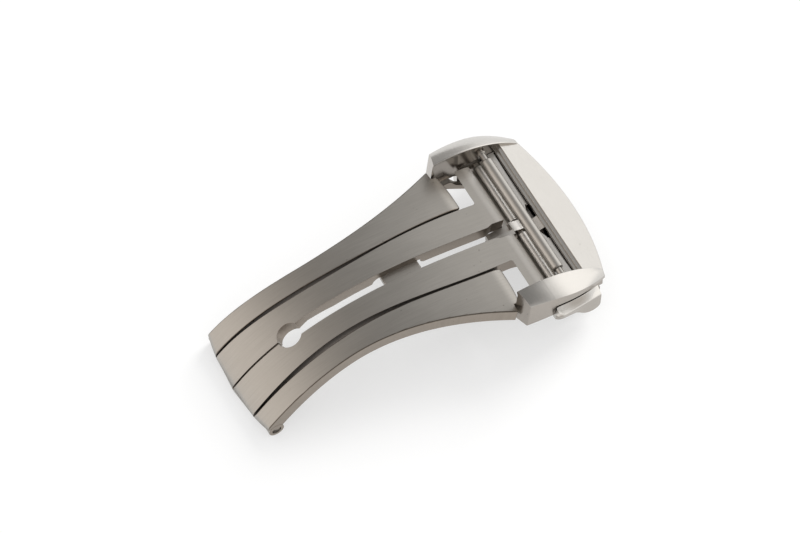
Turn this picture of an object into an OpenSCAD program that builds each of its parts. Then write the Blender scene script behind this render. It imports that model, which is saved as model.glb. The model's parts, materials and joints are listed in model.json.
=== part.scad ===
// Deployant clasp for a watch strap, closed.
// X runs from the hinge end (-X) to the head (+X), Y across, Z up.
// The origin is the middle of the clasp's footprint, on the surface it stands on.

/* [Blades] */
// Width across the hinge end
hinge_end_w = 13.7; // [12.8:0.1:15]
// Narrowest width of the outer blade
waist_w = 12.5; // [11.8:0.1:13.6]
// Width between the outer strips at their two ends
inner_end_w = 8.5; // [7.8:0.1:9.2]
// Narrowest width between the outer strips
inner_waist_w = 7.16; // [6.6:0.1:7.8]
// Thickness of both blades
blade_t = 1.7; // [1.4:0.05:1.9]
// Slope of the arch at the hinge end, in degrees
start_slope = 53; // [50:1:57]
// Slope of the arch at the head end, in degrees
end_slope = -10.4; // [-12:0.2:-8]
// Length along the arch over which it straightens
bend_length = 35; // [32:0.5:37]
// Length of the inner blade along the arch
inner_length = 37.2; // [36:0.1:39]
// Distance along the arch from the ends of the outer strips to the end of the arms
strip_back = 3.6; // [3.2:0.1:4]
// Distance that the strips' ends stay inside the ears' outer faces
strip_step = 1.26; // [1:0.02:1.5]
// Arch length at which the outer strips start to flare
flare_start = 14; // [12:0.5:16]
// Gap between the strips at their ends
end_gap = 0.14; // [0.1:0.02:0.2]
// Gap between the strips where it is widest
mid_gap = 0.45; // [0.3:0.05:0.6]
// Radius of the rounded hinge end, seen from above
nose_r = 26; // [20:1:40]

/* [Slot and arms] */
// Width of the slot down the inner blade
slot_w = 1.5; // [1.1:0.1:1.8]
// Diameter of the round end of the slot
keyhole_d = 2.7; // [2.2:0.1:3]
// Arch length from the hinge end to the middle of the round end
keyhole_at = 9.1; // [8:0.1:10.5]
// Width of the cut between the round end and the hinge end
slit_w = 0.16; // [0.1:0.02:0.24]
// Length of the low bridge across the slot
bridge_len = 4.1; // [3:0.1:5]
// Arch length to the start of the bridge
bridge_at = 21.3; // [20:0.1:23]
// Depth of the bridge's top below the blade's top
bridge_drop = 0.9; // [0.5:0.05:1.1]
// Width of the arms at the head end, along the blade
arm_len = 1.95; // [1.6:0.05:2.2]
// Gap between an arm's end and the ear
arm_gap = 0.35; // [0.2:0.05:0.6]
// Width of the cut between the two arms
arm_cut_w = 2; // [1.8:0.1:2.4]

/* [Hinges] */
// Radius of the knuckles at the hinge end
knuckle_r = 0.95; // [0.9:0.05:1.1]
// Radius of the hinge end's pin
end_pin_r = 0.55; // [0.45:0.05:0.6]
// Distance of that pin from the tip of the blade
end_pin_back = 1.67; // [1.6:0.05:1.9]
// Drop of that pin below the tip of the blade
end_pin_drop = 0.19; // [0.1:0.01:0.3]
// Depth of the pin's ends inside the blade's sides
end_pin_recess = 0.25; // [0.1:0.05:0.4]
// Radius of the inner blade's tubes at the head
tube_r = 0.85; // [0.75:0.05:0.9]
// Radius of the head's hinge pin
head_pin_r = 0.5; // [0.4:0.05:0.55]
// Distance of the head's pin past the end of the arms
head_pin_ahead = 1.2; // [1.1:0.05:1.4]
// Drop of the head's pin below the arms' top
head_pin_drop = 1.6; // [1.5:0.02:1.7]
// Radial clearance of a turning pin
pin_fit = 0.03; // [0.01:0.01:0.06]

/* [Head] */
// Distance between the inner faces of the ears
ear_gap = 18.3; // [18.1:0.1:18.8]
// Thickness of an ear at its widest
ear_t = 2.3; // [2.1:0.1:2.5]
// Thickness of the ear's web behind a button
web_t = 0.75; // [0.65:0.05:0.8]
// Radius of the arched top edge of an ear
ear_arch_r = 13; // [12.5:0.1:14]
// Distance of the ear's foot behind the head's pin
foot_back = 5.5; // [5.3:0.05:5.6]
// Length of the ear's foot
foot_len = 3.1; // [2.7:0.1:3.2]
// Reach of the cover past the head's pin
cover_reach = 7.05; // [6.9:0.05:7.4]
// Distance of the cover's near edge past the head's pin
cover_start = 2.9; // [2.8:0.05:3]
// Height of the cover's near edge above the head's pin
cover_rise = 2.25; // [2.1:0.05:2.4]
// Drop of the cover from its near edge to its outer edge
cover_drop = 3; // [2.8:0.05:3.2]
// Thickness of the cover
cover_t = 1.2; // [1:0.05:1.3]
// Radius of the cover's outer edge, seen from above
cover_edge_r = 26; // [24:0.5:30]
// Gap between the ear's foot and the outer strip
foot_gap = 0.3; // [0.3:0.05:0.5]

/* [Buttons and latch] */
// Length of a button
button_len = 6.1; // [5.6:0.1:6.2]
// Height of a button at its hinge side
button_h = 1.6; // [1.4:0.1:1.8]
// Swell of a button past the side of the ear
button_swell = 0.85; // [0.6:0.05:1]
// Travel of a button
button_travel = 0.65; // [0.5:0.05:0.7]
// Width of the bar behind a button
hook_w = 1.6; // [1.4:0.1:1.7]
// Height of the bar behind a button
hook_h = 0.7; // [0.5:0.05:0.75]
// Sliding clearance around that bar
slide_fit = 0.06; // [0.04:0.01:0.1]
// Sideways gap between the hook and its catch
latch_gap = 0.05; // [0.04:0.01:0.1]
// Thickness of the catch plate
catch_t = 0.4; // [0.3:0.05:0.45]

/* [Spring bars] */
// Outer radius of a spring bar
bar_r = 0.65; // [0.55:0.05:0.75]
// Radius of a spring bar's tips
tip_r = 0.36; // [0.3:0.02:0.38]
// Clearance between a tip and its hole
tip_fit = 0.05; // [0.03:0.01:0.08]
// Depth of a tip in its hole
tip_depth = 0.65; // [0.5:0.05:0.65]
// Travel of a tip
tip_travel = 0.8; // [0.7:0.05:0.85]
// Gap between a spring bar and what holds it
bar_end_gap = 1.3; // [1.25:0.05:1.5]
// Distance of the tail bar's lugs inside the ears' inner faces
lug_step = 1.75; // [1.6:0.05:1.9]
// Radius of those lugs
lug_r = 1.2; // [1.1:0.05:1.25]

/* [Hidden] */
$fn = 48;
eps = 0.01;

// The arch: its slope at arch length u, and its top surface as points one step apart
path_step = 0.4;
path_count = ceil(inner_length / path_step) + 1;
function slope(u) = end_slope + (start_slope - end_slope) * pow(max(0, 1 - u / bend_length), 2);
path = [for (i = 0, p = [0, 0]; i <= path_count;
    p = p + path_step * [cos(slope((i + 0.5) * path_step)), sin(slope((i + 0.5) * path_step))],
    i = i + 1) p];
function along(u) = let (k = u / path_step, i = min(floor(k), path_count - 1), f = k - i)
    path[i] * (1 - f) + path[i + 1] * f;

arch_run = along(inner_length)[0];
arch_rise = along(inner_length)[1];
length_all = arch_run + head_pin_ahead + cover_reach;
nose_x = -length_all / 2;
nose_z = knuckle_r + end_pin_drop;
end_pin_x = nose_x + end_pin_back;
end_pin_z = knuckle_r;
head_x = nose_x + arch_run + head_pin_ahead;
head_z = nose_z + arch_rise - head_pin_drop;

function top(u) = along(u) + [nose_x, nose_z];
function under(u, depth) = top(u) + depth * [sin(slope(u)), -cos(slope(u))];
function span(from, to, count) = [for (i = [0 : count]) from + (to - from) * i / count];
function reversed(list) = [for (i = [len(list) - 1 : -1 : 0]) list[i]];

// Half widths of the head and of what follows its width
ear_in = ear_gap / 2;
ear_out = ear_in + ear_t;
web_out = ear_in + web_t;
arm_half = ear_in - arm_gap;
lug_in = ear_in - lug_step;
strut_in = ear_in - 0.7;
strut_out = ear_in - 0.1;
side_all = ear_out + 2 * button_swell;

// Half widths of the strips at arch length u
outer_length = inner_length - strip_back;
wave_length = 32;
hinge_swell = 15;
gap_wave = 25;
function half_split(u) = (inner_waist_w + (inner_end_w - inner_waist_w)
    * (1 + cos(360 * u / wave_length)) / 2) / 2;
function strip_gap(u) = end_gap + (u < gap_wave ? (mid_gap - end_gap)
    * pow(sin(180 * u / gap_wave), 2) : 0);
flare = (ear_out - strip_step - waist_w / 2) / pow(outer_length - 1 - flare_start, 2);
function inner_edge(u) = half_split(u) - strip_gap(u) / 2;
function split_edge(u) = half_split(u) + strip_gap(u) / 2;
function outer_edge(u) = waist_w / 2
    + (u < hinge_swell ? (hinge_end_w - waist_w) / 2 * (1 + cos(180 * u / hinge_swell)) / 2 : 0)
    + (u > flare_start ? flare * pow(u - flare_start, 2) : 0);
function nose_at(y) = nose_x + y * y / (2 * nose_r);

// Head: heights and places, measured from the head's pin
foot_x = -foot_back;
foot_end = foot_x + foot_len;
ear_end = cover_reach - 1.85;
arch_cx = -4.3;
arch_top = 4.85;
ear_wide_x = -0.5;
bow_back = 0.016;
bow_ahead = 0.045;
ridge_z = 3.88;
ridge_fall = 0.05;
ridge_bend = 0.0255;
wall_z = 1.65;
wall_bend = 0.04;
foot_slant = 0.35;
function ear_top(x) = arch_top - ear_arch_r + sqrt(pow(ear_arch_r, 2) - pow(x - arch_cx, 2));
function ear_side(x) = ear_out - (x < ear_wide_x ? bow_back : bow_ahead) * pow(x - ear_wide_x, 2);
function ear_ridge(x) = min(ear_top(x) - 0.03,
    ridge_z - ridge_fall * (x - foot_x) - ridge_bend * pow(x - foot_x, 2));
function wall_foot(x) = wall_z - wall_bend * pow(max(x, foot_end) - foot_end, 2);

cover_slope = atan(cover_drop / (cover_reach - cover_start));
cover_dir = [cos(cover_slope), -sin(cover_slope)];
cover_up = [sin(cover_slope), cos(cover_slope)];
cover_a = [cover_start, cover_rise];
cover_len = (cover_reach - cover_start) / cos(cover_slope);
cover_b = cover_a + cover_len * cover_dir;
front_wall_t = 0.9;
housing_low = -1.75;
housing_start = 0.95;

// Latch: the bar behind a button, its claw, and the catch
hook_x = 1.2;
hook_top = -0.45;
hook_low = hook_top - hook_h;
hook_in = ear_in - 4.55;
button_in = web_out + button_travel + 0.1;
claw_in = hook_in + 0.3;
claw_out = claw_in + 0.8;
tooth = 0.15;
claw_low = housing_low - 0.2;
catch_top = claw_low - 0.1;
catch_in = claw_out + tooth + latch_gap;
catch_out = catch_in + 0.6;
catch_head = housing_low + 0.4;
catch_half = lug_in - 0.2;
plate_t = 0.7;
plate_top = catch_top - catch_t;
plate_low = plate_top - plate_t;
plate_start = 0.6;
plate_end = 3;
spring_r = 0.4;
wall_half = 0.9;

// Lugs and side arms of the outer blade
strut_start = foot_x - 1.4;
strut_w = 1.2;
strut_head = 0.9;
strut_top = plate_top + 0.5;
knee_x = foot_end - 0.8;
knee_z = -1.45;
lug_x = 4.1;
lug_z = lug_r - head_z;

// Spring bars
bar_x = 0.47;
bar_z = 2.63;
tip_inside = 0.8;
function bar_half(seat) = seat - bar_end_gap;
function tip_start(seat) = bar_half(seat) - tip_inside;
flange_r = 0.55;
flange_t = 0.22;
flange_gap = 0.2;

steel = [0.72, 0.71, 0.68];
satin = [0.86, 0.85, 0.82];
spring_steel = [0.6, 0.6, 0.62];

module both_sides() { children(); mirror([0, 1, 0]) children(); }
module at_head() { translate([head_x, 0, head_z]) children(); }

// An XZ outline made solid from y0 to y1
module slab(points, y0, y1) {
    translate([0, y1, 0]) rotate([90, 0, 0]) linear_extrude(y1 - y0) polygon(points);
}

// A round bar or hole along Y at x, z, from y0 to y1
module round_y(x, z, r, y0, y1) {
    translate([x, y1, z]) rotate([90, 0, 0]) cylinder(r = r, h = y1 - y0);
}

// A plan outline made solid through the whole height
plan_low = -5;
tall = 2 * (head_z + arch_top) - plan_low;
module plan(points) { translate([0, 0, plan_low]) linear_extrude(tall) polygon(points); }

// The blades' side view between two arch lengths and two depths under the top
function side_view(u0, u1, d0, d1, count = 40) = concat(
    [for (u = span(u0, u1, count)) under(u, d0)],
    reversed([for (u = span(u0, u1, count)) under(u, d1)]));

// Outline of the inner blade from above
arm_start = inner_length - arm_len;
module inner_plan() {
    edge = concat([for (u = span(0, arm_start, 36)) if (top(u)[0] > nose_at(inner_edge(0)) + 0.1)
        [top(u)[0], inner_edge(u)]],
        [[top(arm_start)[0], arm_half], [top(inner_length)[0] + 0.4, arm_half]]);
    nose = [for (y = span(-inner_edge(0), inner_edge(0), 12)) [nose_at(y), y]];
    plan(concat(nose, edge, reversed([for (p = edge) [p[0], -p[1]]])));
}

// Outline of one outer strip from above
foot_line = head_x + foot_x - foot_gap;
foot_y = ear_in - foot_gap;
module outer_plan() {
    inner_y = split_edge(outer_length);
    side_u = outer_length - 1;
    outer_y = outer_edge(side_u);
    tip_x = top(outer_length)[0];
    end_curve = concat([for (t = span(0, 1, 12))
        [tip_x - (tip_x - foot_line) * pow(t, 4), inner_y + (foot_y - inner_y) * t]],
        [[foot_line, outer_y]]);
    side = [for (u = span(0, side_u, 36))
        if (top(u)[0] < foot_line && top(u)[0] > nose_at(outer_edge(0)) + 0.1)
            [top(u)[0], outer_edge(u)]];
    nose = [for (y = span(outer_edge(0), split_edge(0), 6)) [nose_at(y), y]];
    inner = [for (u = span(0, outer_length - 0.1, 36))
        if (top(u)[0] > nose_at(split_edge(0)) + 0.1) [top(u)[0], split_edge(u)]];
    plan(concat(reversed(side), nose, inner, end_curve));
}

module outer_blade() color(steel) {
    both_sides() difference() {
        union() {
            intersection() {
                union() {
                    slab(side_view(0, outer_length + 1, 0, blade_t), 0, side_all);
                    round_y(end_pin_x, end_pin_z, knuckle_r, 0, side_all);
                }
                outer_plan();
            }
            at_head() strut();
        }
        round_y(end_pin_x, end_pin_z, end_pin_r, 0, side_all);
        roll_down();
    }
    at_head() translate([plate_start, -strut_in - eps, plate_low])
        cube([plate_end - plate_start, 2 * strut_in + 2 * eps, plate_t]);
}

// The strips' ends fall away in front of the ears' feet
roll_len = 0.6;
roll_h = 0.9;
module roll_down() {
    z = under(outer_length - 1, 0)[1];
    slab([[foot_line - roll_len, z + 0.3], [foot_line + 0.1, z - roll_h],
        [foot_line + 0.1, z + 0.6], [foot_line - roll_len, z + 0.6]], foot_y, side_all);
}

// Side arm slanting from a strip's end down and under the head, with the lug for the tail bar
module strut() {
    difference() {
        union() {
            slab([[strut_start, strut_head], [strut_start + strut_w, strut_head],
                [knee_x, knee_z], [knee_x + strut_w / 2, strut_top], [plate_end, strut_top],
                [lug_x + lug_r * 0.8, lug_z + lug_r * 0.6], [lug_x - lug_r * 0.8, lug_z - lug_r * 0.6],
                [plate_end - strut_w / 2, plate_low], [knee_x - 0.1, plate_low],
                [knee_x - 0.9, plate_low + strut_w / 2], [knee_x - 0.9, knee_z]],
                strut_in, strut_out);
            round_y(lug_x, lug_z, lug_r, lug_in, strut_out);
        }
        round_y(lug_x, lug_z, tip_r + tip_fit, strut_in - lug_r, lug_in + tip_depth + 0.05);
    }
}

module catch_plate() color(steel) at_head() {
    translate([plate_start + 0.2, -catch_half, plate_top])
        cube([plate_end - plate_start - 0.4, 2 * catch_half, catch_t]);
    both_sides() slab([[hook_x + 0.2, plate_top], [hook_x + hook_w - 0.2, plate_top],
        [hook_x + hook_w - 0.2, catch_head], [hook_x + 0.2, catch_head]], catch_in + 0.1, catch_out);
    both_sides() slab([[hook_x + 0.2, catch_head - tooth], [hook_x + hook_w - 0.2, catch_head - tooth],
        [hook_x + hook_w - 0.2, catch_head], [hook_x + 0.2, catch_head]], catch_in, catch_out);
}

module end_hinge_pin() color(satin) {
    half = hinge_end_w / 2 - end_pin_recess;
    round_y(end_pin_x, end_pin_z, end_pin_r, -half, half);
}

module inner_blade() color(steel) {
    slot_end = arm_start - 0.35;
    keyhole = top(keyhole_at)[0];
    difference() {
        union() {
            difference() {
                intersection() {
                    union() {
                        slab(side_view(0, inner_length, 0, blade_t), -tall / 2, tall / 2);
                        round_y(end_pin_x, end_pin_z, knuckle_r, -tall / 2, tall / 2);
                    }
                    inner_plan();
                }
                plan([[nose_x - 1, -slit_w / 2], [keyhole, -slit_w / 2],
                    [keyhole, slit_w / 2], [nose_x - 1, slit_w / 2]]);
                translate([keyhole, 0, plan_low]) cylinder(d = keyhole_d, h = tall);
                plan([[keyhole, -slot_w / 2], [top(slot_end)[0], -slot_w / 2],
                    [top(arm_start)[0] + 0.3, -arm_cut_w / 2], [head_x, -arm_cut_w / 2],
                    [head_x, arm_cut_w / 2], [top(arm_start)[0] + 0.3, arm_cut_w / 2],
                    [top(slot_end)[0], slot_w / 2], [keyhole, slot_w / 2]]);
            }
            slab(side_view(bridge_at, bridge_at + bridge_len, bridge_drop, blade_t, 8),
                -slot_w / 2 - eps, slot_w / 2 + eps);
            both_sides() at_head() {
                round_y(0, 0, tube_r, arm_cut_w / 2 - 0.12, arm_half);
                slab([[-head_pin_ahead - 0.6, 0.35], [0, 0.35], [0, 0.1 - tube_r],
                    [-0.5, 0.15 - tube_r], [-head_pin_ahead - 0.6, -0.1]], arm_cut_w / 2, arm_half);
            }
        }
        round_y(end_pin_x, end_pin_z, end_pin_r + pin_fit, -tall / 2, tall / 2);
        at_head() round_y(0, 0, head_pin_r, -tall / 2, tall / 2);
    }
}

module head_hinge_pin() color(satin) at_head()
    round_y(0, 0, head_pin_r, -web_out + 0.05, web_out - 0.05);

// One ear lofted from sections across it, its top sloping down from the inner edge
ear_steps = 18;
module ear_loft() {
    rings = [for (t = span(0, 1, ear_steps)) let (x = foot_x + t * (ear_end - foot_x),
        side_x = x + foot_slant * (1 - t))
        [[x, ear_in, wall_foot(x)], [side_x, ear_side(side_x), wall_foot(side_x)],
         [side_x, ear_side(side_x), ear_ridge(side_x)], [x, ear_in, ear_top(x)]]];
    loft(rings);
}

// Closed mesh through rings of points, listed in order from -X to +X
module loft(rings) {
    n = len(rings[0]);
    last = len(rings) - 1;
    polyhedron([for (ring = rings) each ring], concat(
        [[for (k = [0 : n - 1]) k]],
        [for (i = [0 : last - 1], k = [0 : n - 1]) each [
            [i * n + k, (i + 1) * n + k, (i + 1) * n + (k + 1) % n],
            [i * n + k, (i + 1) * n + (k + 1) % n, i * n + (k + 1) % n]]],
        [[for (k = [n - 1 : -1 : 0]) last * n + k]]));
}

// Lower half of an ear's foot, flush with the ear above it
foot_low = -0.1;
module foot_block() {
    rings = [for (x = [foot_x, foot_end]) let (side_x = x == foot_x ? x + foot_slant : x)
        [[x, ear_in, foot_low], [side_x, ear_side(side_x), foot_low],
         [side_x, ear_side(side_x), wall_z + 0.3], [x, ear_in, wall_z + 0.3]]];
    loft(rings);
}

// Plan of the cover and the walls under it, set in from its outer edge
module cover_plan(inset, from) {
    half = ear_in + 0.3;
    plan(concat([[from, -half]], [for (y = span(-half, half, 24))
        [cover_reach - inset - y * y / (2 * cover_edge_r), y]], [[from, half]]));
}

cover_line = [cover_a, cover_b, cover_b - cover_t * cover_up, cover_a - cover_t * cover_up];
screw_x = 3.9;
screw_y = ear_in - 6.75;
screw_r = 0.45;
screw_top = 0.35;

module head_frame() color(satin) at_head() difference() {
    union() {
        both_sides() {
            ear_loft();
            foot_block();
            slab([[foot_end - eps, housing_low], [ear_end - 0.6, housing_low],
                [ear_end - 0.6, wall_foot(ear_end) + 0.1],
                [foot_end - eps, wall_z - 0.5]], ear_in, web_out);
        }
        intersection() {
            slab(cover_line, -ear_in - 0.2, ear_in + 0.2);
            cover_plan(0, 0);
        }
        intersection() {
            slab([[cover_start, -2.1], [cover_reach + 1, -2.1], cover_b, cover_a - 0.3 * cover_up],
                -ear_in - 0.2, ear_in + 0.2);
            difference() {
                cover_plan(0.05, 0);
                cover_plan(front_wall_t, -1);
            }
        }
    }
    round_y(0, 0, head_pin_r + pin_fit, -web_out - 1, web_out + 1);
    both_sides() {
        round_y(bar_x, bar_z, tip_r + tip_fit, ear_in - 0.5, ear_in + tip_depth + 0.05);
        translate([hook_x - slide_fit, ear_in - 1, hook_low - slide_fit])
            cube([hook_w + 2 * slide_fit, web_t + 2, hook_h + 2 * slide_fit]);
        translate([screw_x, screw_y, -3]) cylinder(r = screw_r, h = 3 + screw_top);
    }
}

module latch_housing() color(steel) at_head() difference() {
    union() {
        intersection() {
            slab([[housing_start, housing_low], [cover_reach, housing_low],
                cover_b - cover_t * cover_up, cover_a - cover_t * cover_up,
                [housing_start, 0.9]], -ear_in, ear_in);
            cover_plan(front_wall_t, 0);
        }
        tongue();
    }
    round_y(0, 0, head_pin_r + pin_fit, -2, 2);
    both_sides() {
        round_y(0, 0, tube_r + 0.1, arm_cut_w / 2 - 0.15, ear_in + 1);
        translate([hook_x - slide_fit, hook_in - button_travel - 0.2, hook_low - slide_fit])
            cube([hook_w + 2 * slide_fit, ear_in, hook_h + 2 * slide_fit]);
        round_y(hook_x + hook_w / 2, hook_low + hook_h / 2, spring_r + 0.05, wall_half, ear_in);
        translate([hook_x - 0.1, claw_in - button_travel - 0.15, housing_low - 1])
            cube([hook_w + 0.9, catch_out - claw_in + button_travel + 0.3,
                hook_low - housing_low + 1]);
        translate([screw_x, screw_y, housing_low - 1]) cylinder(r = screw_r, h = 4);
    }
}

// Middle knuckle of the head, with a hollow tongue that fills the cut between the arms
tongue_half = 0.62;
tongue_wall = 0.3;
tongue_tip = -3.1;
tongue_top = 1.25;
module tongue() {
    difference() {
        slab([[tongue_tip - 0.8, -0.7], [tongue_tip, tongue_top], [-tube_r, tongue_top - 0.1],
            [0, tube_r], [housing_start + 0.1, 0.5], [housing_start + 0.1, housing_low],
            [0.4, -tube_r], [-0.4, -tube_r]], -tongue_half, tongue_half);
        translate([tongue_tip + tongue_wall, tongue_wall - tongue_half, 0.1])
            cube([-tongue_tip - tongue_wall - 0.9, 2 * (tongue_half - tongue_wall), tongue_top]);
    }
    round_y(0, 0, tube_r, -tongue_half, tongue_half);
}

module housing_screws() color(satin) at_head() both_sides() translate([screw_x, screw_y, 0]) {
    translate([0, 0, housing_low]) cylinder(r = screw_r, h = screw_top - housing_low);
    difference() {
        translate([0, 0, housing_low - 0.3]) cylinder(r = screw_r + 0.35, h = 0.3);
        translate([-1, -0.1, housing_low - 0.4]) cube([2, 0.2, 0.25]);
    }
}

// A spring bar: tube, spring and one tip, on its own axis along Y
module bar_tube(seat) {
    half = bar_half(seat);
    difference() {
        round_y(0, 0, bar_r, -half, half);
        round_y(0, 0, tip_r + tip_fit, -half - 1, half + 1);
    }
}

module bar_tip(seat) {
    round_y(0, 0, tip_r, tip_start(seat), seat + tip_depth);
    round_y(0, 0, flange_r, seat - flange_gap - flange_t, seat - flange_gap);
}

module bar_spring(seat) { round_y(0, 0, tip_r - 0.02, -tip_start(seat), tip_start(seat)); }

module at_strap_bar() { at_head() translate([bar_x, 0, bar_z]) children(); }
module at_tail_bar() { at_head() translate([lug_x, 0, lug_z]) children(); }

module strap_bar_tube() color(satin) at_strap_bar() bar_tube(ear_in);
module strap_bar_spring() color(spring_steel) at_strap_bar() bar_spring(ear_in);
module strap_tip_far() color(satin) at_strap_bar() bar_tip(ear_in);
module strap_tip_near() color(satin) at_strap_bar() mirror([0, 1, 0]) bar_tip(ear_in);
module tail_bar_tube() color(satin) at_tail_bar() bar_tube(lug_in);
module tail_bar_spring() color(spring_steel) at_tail_bar() bar_spring(lug_in);
module tail_tip_far() color(satin) at_tail_bar() bar_tip(lug_in);
module tail_tip_near() color(satin) at_tail_bar() mirror([0, 1, 0]) bar_tip(lug_in);

// Button: sections along X with a swelling ridge and a scalloped lower edge
button_ahead = 0.75;
button_x = foot_end + button_ahead;
button_steps = 18;
lobe_drop = 1.3;
lobe_round = 0.4;
module button() {
    xs = span(button_x, button_x + button_len, button_steps);
    rings = [for (i = [0 : button_steps]) let (x = xs[i], t = i / button_steps,
        side = max(ear_side(x), button_in + 0.1),
        ridge = side + button_swell * pow(sin(180 * (0.1 + 0.82 * t)), 0.6),
        top_z = wall_foot(x) - 0.15, ridge_low = top_z - 0.5 - 0.5 * sin(90 * t),
        low_z = top_z - button_h + lobe_drop * (cos(180 * min(1, max(0, (t - 0.35) / 0.3))) - 1) / 2
            + lobe_round * pow(abs(2 * t - 1), 8))
        [[x, button_in, low_z], [x, ridge - 0.15, low_z], [x, ridge, ridge_low],
         [x, side, top_z], [x, button_in, top_z]]];
    loft(rings);
}

module latch_hook() {
    translate([hook_x, hook_in, hook_low]) cube([hook_w, button_in - hook_in, hook_h]);
    claw_w = hook_w - 0.4;
    translate([hook_x + 0.2, claw_in, claw_low]) {
        cube([claw_w, claw_out - claw_in, hook_low - claw_low + eps]);
        cube([claw_w, claw_out - claw_in + tooth, tooth]);
    }
}

module button_spring() {
    round_y(hook_x + hook_w / 2, hook_low + hook_h / 2, spring_r - 0.06, wall_half, hook_in);
}

module button_far() color(satin) at_head() button();
module button_near() color(satin) mirror([0, 1, 0]) at_head() button();
module latch_hook_far() color(steel) at_head() latch_hook();
module latch_hook_near() color(steel) mirror([0, 1, 0]) at_head() latch_hook();
module button_spring_far() color(spring_steel) at_head() button_spring();
module button_spring_near() color(spring_steel) mirror([0, 1, 0]) at_head() button_spring();

outer_blade();
catch_plate();
end_hinge_pin();
tail_bar_tube();
tail_bar_spring();
tail_tip_near();
tail_tip_far();
inner_blade();
head_hinge_pin();
head_frame();
latch_housing();
housing_screws();
strap_bar_tube();
strap_bar_spring();
strap_tip_near();
strap_tip_far();
button_near();
button_far();
latch_hook_near();
latch_hook_far();
button_spring_near();
button_spring_far();
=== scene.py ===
import json
import math

import bpy
from mathutils import Matrix, Vector


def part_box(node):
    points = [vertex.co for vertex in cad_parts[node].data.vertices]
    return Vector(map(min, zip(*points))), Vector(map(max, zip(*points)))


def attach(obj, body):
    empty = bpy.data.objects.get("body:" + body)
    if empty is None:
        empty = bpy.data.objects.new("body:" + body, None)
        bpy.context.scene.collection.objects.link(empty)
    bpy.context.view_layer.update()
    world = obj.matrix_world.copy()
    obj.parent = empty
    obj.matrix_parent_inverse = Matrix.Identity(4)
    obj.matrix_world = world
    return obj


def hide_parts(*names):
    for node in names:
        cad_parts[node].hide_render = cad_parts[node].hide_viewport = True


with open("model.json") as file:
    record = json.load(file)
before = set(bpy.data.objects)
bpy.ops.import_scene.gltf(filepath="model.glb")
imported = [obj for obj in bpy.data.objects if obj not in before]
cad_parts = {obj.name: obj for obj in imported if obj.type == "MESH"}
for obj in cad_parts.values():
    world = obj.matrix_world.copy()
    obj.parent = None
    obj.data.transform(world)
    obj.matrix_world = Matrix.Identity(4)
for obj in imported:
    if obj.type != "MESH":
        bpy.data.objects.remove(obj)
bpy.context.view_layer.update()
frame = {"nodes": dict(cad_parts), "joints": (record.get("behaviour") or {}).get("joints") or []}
print("frame loaded")

# modelling is in millimetres, and settle() brings each piece to metres
metre = 1000
pins = {j["name"]: Vector(j["pos_m"]) * metre for j in frame["joints"] if "pos_m" in j}
endPin = pins["end_hinge"]
headPin = pins["head_hinge"]


def boxOf(node):
    low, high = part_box(node)
    return low * metre, high * metre


# selection and modifiers


def objectMode():
    if bpy.context.object and bpy.context.object.mode != "OBJECT":
        bpy.ops.object.mode_set(mode="OBJECT")


def onlyThis(*pieces):
    objectMode()
    bpy.ops.object.select_all(action="DESELECT")
    for piece in pieces:
        piece.select_set(True)
    bpy.context.view_layer.objects.active = pieces[0]


def newPiece(name):
    piece = bpy.context.object
    piece.name = name
    piece.data.name = name
    onlyThis(piece)
    return piece


def useModifier(piece, kind, **settings):
    onlyThis(piece)
    modifier = piece.modifiers.new(kind.title(), kind)
    for key, value in settings.items():
        setattr(modifier, key, value)
    bpy.ops.object.modifier_apply(modifier=modifier.name)
    return piece


def inEdit(piece, *steps):
    onlyThis(piece)
    bpy.ops.object.mode_set(mode="EDIT")
    bpy.ops.mesh.select_all(action="SELECT")
    for step in steps:
        step()
    bpy.ops.object.mode_set(mode="OBJECT")


def roundEdges(piece, width, segments=3, angle=35):
    return useModifier(piece, "BEVEL", width=width, segments=segments, limit_method="ANGLE",
                       angle_limit=math.radians(angle), harden_normals=False)


def cutBy(piece, cutter):
    useModifier(piece, "BOOLEAN", object=cutter, operation="DIFFERENCE", solver="EXACT")
    bpy.data.objects.remove(cutter)
    return piece


def joined(name, *pieces):
    onlyThis(*pieces)
    bpy.ops.object.join()
    return newPiece(name)


def mirrored(piece, name):
    onlyThis(piece)
    bpy.ops.object.duplicate()
    copy = newPiece(name)
    bpy.ops.transform.resize(value=(1, -1, 1), center_override=(0, 0, 0))
    bpy.ops.object.transform_apply(location=True, rotation=True, scale=True)
    inEdit(copy, lambda: bpy.ops.mesh.normals_make_consistent(inside=False))
    return copy


def facesOut(piece):
    inEdit(piece, lambda: bpy.ops.mesh.remove_doubles(threshold=0.0005),
           lambda: bpy.ops.mesh.normals_make_consistent(inside=False))
    return piece


def settle(piece, body, material, slotName, *nodes, smooth=35):
    # smooth shading, metres, steel, and the body that the finished piece rides on
    onlyThis(piece)
    bpy.ops.object.transform_apply(location=True, rotation=True, scale=True)
    bpy.ops.object.shade_smooth_by_angle(angle=math.radians(smooth))
    useModifier(piece, "WEIGHTED_NORMAL", keep_sharp=True, weight=80)
    scale = 1 / metre
    bpy.ops.transform.resize(value=(scale, scale, scale), center_override=(0, 0, 0))
    bpy.ops.object.transform_apply(location=True, rotation=True, scale=True)
    piece.data.materials.clear()
    piece.data.materials.append(material)
    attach(piece, body)
    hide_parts(*nodes)
    return piece


# outlines


def span(start, stop, count):
    return [start + (stop - start) * i / count for i in range(count + 1)]


def roundedOutline(points, arcSteps=5):
    # a point with a third number is a corner with that radius
    outline = []
    for i, point in enumerate(points):
        if len(point) == 2:
            outline.append(point)
            continue
        here = Vector(point[:2])
        toLast = (Vector(points[i - 1][:2]) - here).normalized()
        toNext = (Vector(points[(i + 1) % len(points)][:2]) - here).normalized()
        reach = point[2] / math.tan(max(toLast.angle(toNext), 0.1) / 2)
        for t in span(0, 1, arcSteps):
            spot = here + toLast * reach * (1 - t) ** 2 + toNext * reach * t ** 2
            outline.append((spot.x, spot.y))
    return outline


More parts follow.
